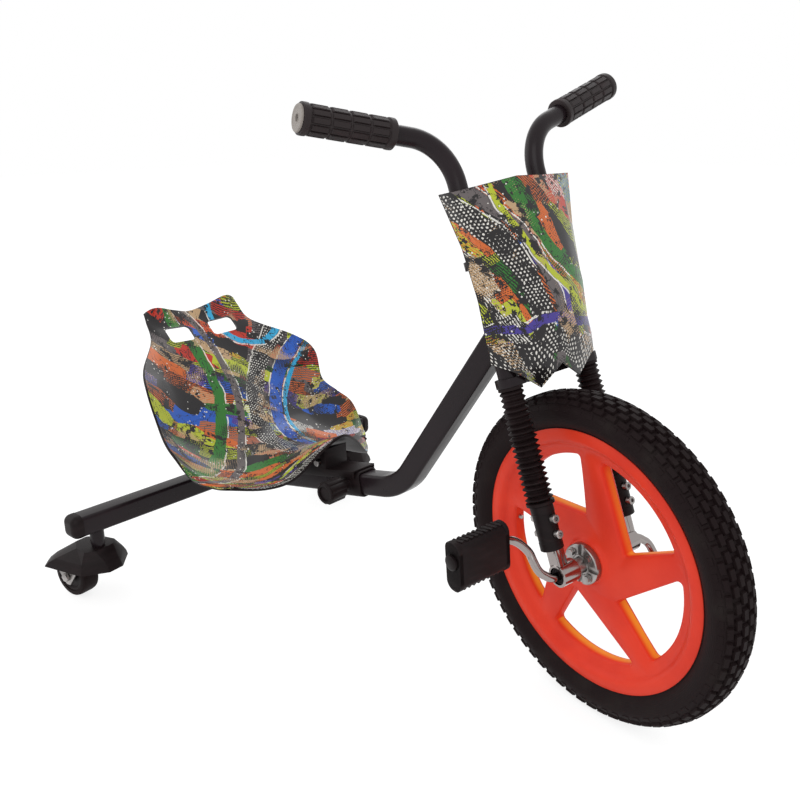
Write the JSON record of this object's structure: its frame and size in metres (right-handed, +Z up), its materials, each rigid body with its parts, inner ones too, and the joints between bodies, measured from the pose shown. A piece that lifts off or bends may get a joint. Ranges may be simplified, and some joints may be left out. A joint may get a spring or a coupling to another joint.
{
  "type": "pedal drift tricycle",
  "caption": "Front-pedal tricycle with a bucket seat on a sliding clamp, a low box-tube frame and swivelling rear casters.",
  "frame": {"origin": "middle of the footprint at floor level", "axes": "+X forward, +Y to the rider's left, +Z up"},
  "size_m": [0.991, 0.6518, 0.7491],
  "materials": {
    "black_paint": "glossy black paint",
    "black_rubber": "satin black rubber",
    "tyre_rubber": "matt black tyre rubber",
    "black_plastic": "satin black plastic",
    "zinc": "bright zinc plate",
    "chrome": "polished chrome",
    "red_plastic": "semi-gloss orange-red plastic",
    "seat_print": "glossy film-printed plastic",
    "fairing_print": "glossy film-printed plastic",
    "grey_plastic": "light grey plastic"
  },
  "bodies": {
    "frame": {"main_beam": "black_paint", "rear_cross_tube": "black_paint", "head_tube": "black_paint", "headset_cup_lower": "zinc", "headset_cup_upper": "zinc", "rear_end_cap_left": "black_plastic", "rear_end_cap_right": "black_plastic", "caster_stem_left": "black_paint", "caster_stem_right": "black_paint"},
    "steering": {"fork_crown_lower": "black_paint", "fork_crown_upper": "black_paint", "steerer": "zinc", "fairing": "fairing_print", "fairing_bracket": "black_paint", "fork_tube_left": "black_paint", "fork_tube_right": "black_paint", "leg_sleeve_left": "black_plastic", "leg_sleeve_right": "black_plastic", "gaiter_left": "black_rubber", "gaiter_right": "black_rubber", "fork_end_left": "chrome", "fork_end_right": "chrome", "bearing_housing_left": "chrome", "bearing_housing_right": "chrome", "axle_bush_left": "black_plastic", "axle_bush_right": "black_plastic", "grip_left": "black_rubber", "grip_right": "black_rubber", "grip_plug_left": "grey_plastic", "grip_plug_right": "grey_plastic", "leg_bolt_left_1": "zinc", "leg_bolt_left_2": "zinc", "leg_bolt_right_1": "zinc", "leg_bolt_right_2": "zinc"},
    "front_wheel": {"front_tyre": "tyre_rubber", "wheel_rim": "red_plastic", "wheel_spokes": "red_plastic", "valve_stem": "zinc", "crank_rod": "chrome", "hub_flange_left": "zinc", "hub_flange_right": "zinc"},
    "pedal_left": {"pedal_left": "black_plastic", "pedal_cap_left": "black_plastic"},
    "pedal_right": {"pedal_right": "black_plastic", "pedal_cap_right": "black_plastic"},
    "seat": {"seat_shell": "seat_print", "seat_slider": "black_plastic", "seat_bracket": "black_plastic", "seat_bracket_bolt": "zinc"},
    "knob": {"clamp_knob": "black_plastic"},
    "caster_left": {"caster_cover_left": "black_plastic", "caster_yoke_left": "zinc", "caster_axle_left": "zinc"},
    "caster_wheel_left": {"caster_tread_left": "tyre_rubber", "caster_hub_left": "black_plastic"},
    "caster_right": {"caster_cover_right": "black_plastic", "caster_yoke_right": "zinc", "caster_axle_right": "zinc"},
    "caster_wheel_right": {"caster_tread_right": "tyre_rubber", "caster_hub_right": "black_plastic"}
  },
  "joints": [
    {"name": "steering_turn", "type": "hinge", "parent": "frame", "child": "steering", "pos_m": [0.26763, 0, 0.19343], "axis": [-0.3305, 0, 0.9438], "range_deg": [-32.1, 57.9]},
    {"name": "front_wheel_spin", "type": "hinge", "parent": "steering", "child": "front_wheel", "pos_m": [0.29523, -0.0067, 0.20309], "axis": [0.2107, 0.9748, 0.0738], "continuous": true},
    {"name": "pedal_left_spin", "type": "hinge", "parent": "front_wheel", "child": "pedal_left", "pos_m": [0.3613, 0.13502, 0.1616], "axis": [0.2107, 0.9748, 0.0738], "continuous": true},
    {"name": "pedal_right_spin", "type": "hinge", "parent": "front_wheel", "child": "pedal_right", "pos_m": [0.22917, -0.14841, 0.24458], "axis": [0.2107, 0.9748, 0.0738], "continuous": true},
    {"name": "seat_slide", "type": "slide", "parent": "frame", "child": "seat", "axis": [0.9836, 0, 0.1805], "range_m": [-0.1, 0.025]},
    {"name": "knob_turn", "type": "hinge", "parent": "seat", "child": "knob", "pos_m": [-0.10705, 0, 0.19059], "axis": [0, -1, 0], "range_deg": [0, 360]},
    {"name": "caster_swivel_left", "type": "hinge", "parent": "frame", "child": "caster_left", "pos_m": [-0.39175, 0.265, 0.00034], "axis": [0, 0, 1], "continuous": true},
    {"name": "caster_swivel_right", "type": "hinge", "parent": "frame", "child": "caster_right", "pos_m": [-0.39175, -0.265, 0.00034], "axis": [0, 0, 1], "continuous": true},
    {"name": "caster_roll_left", "type": "hinge", "parent": "caster_left", "child": "caster_wheel_left", "pos_m": [-0.45101, 0.27439, 0.03434], "axis": [0.1564, 0.9877, 0], "continuous": true},
    {"name": "caster_roll_right", "type": "hinge", "parent": "caster_right", "child": "caster_wheel_right", "pos_m": [-0.45101, -0.27439, 0.03434], "axis": [-0.1564, 0.9877, 0], "continuous": true}
  ]
}
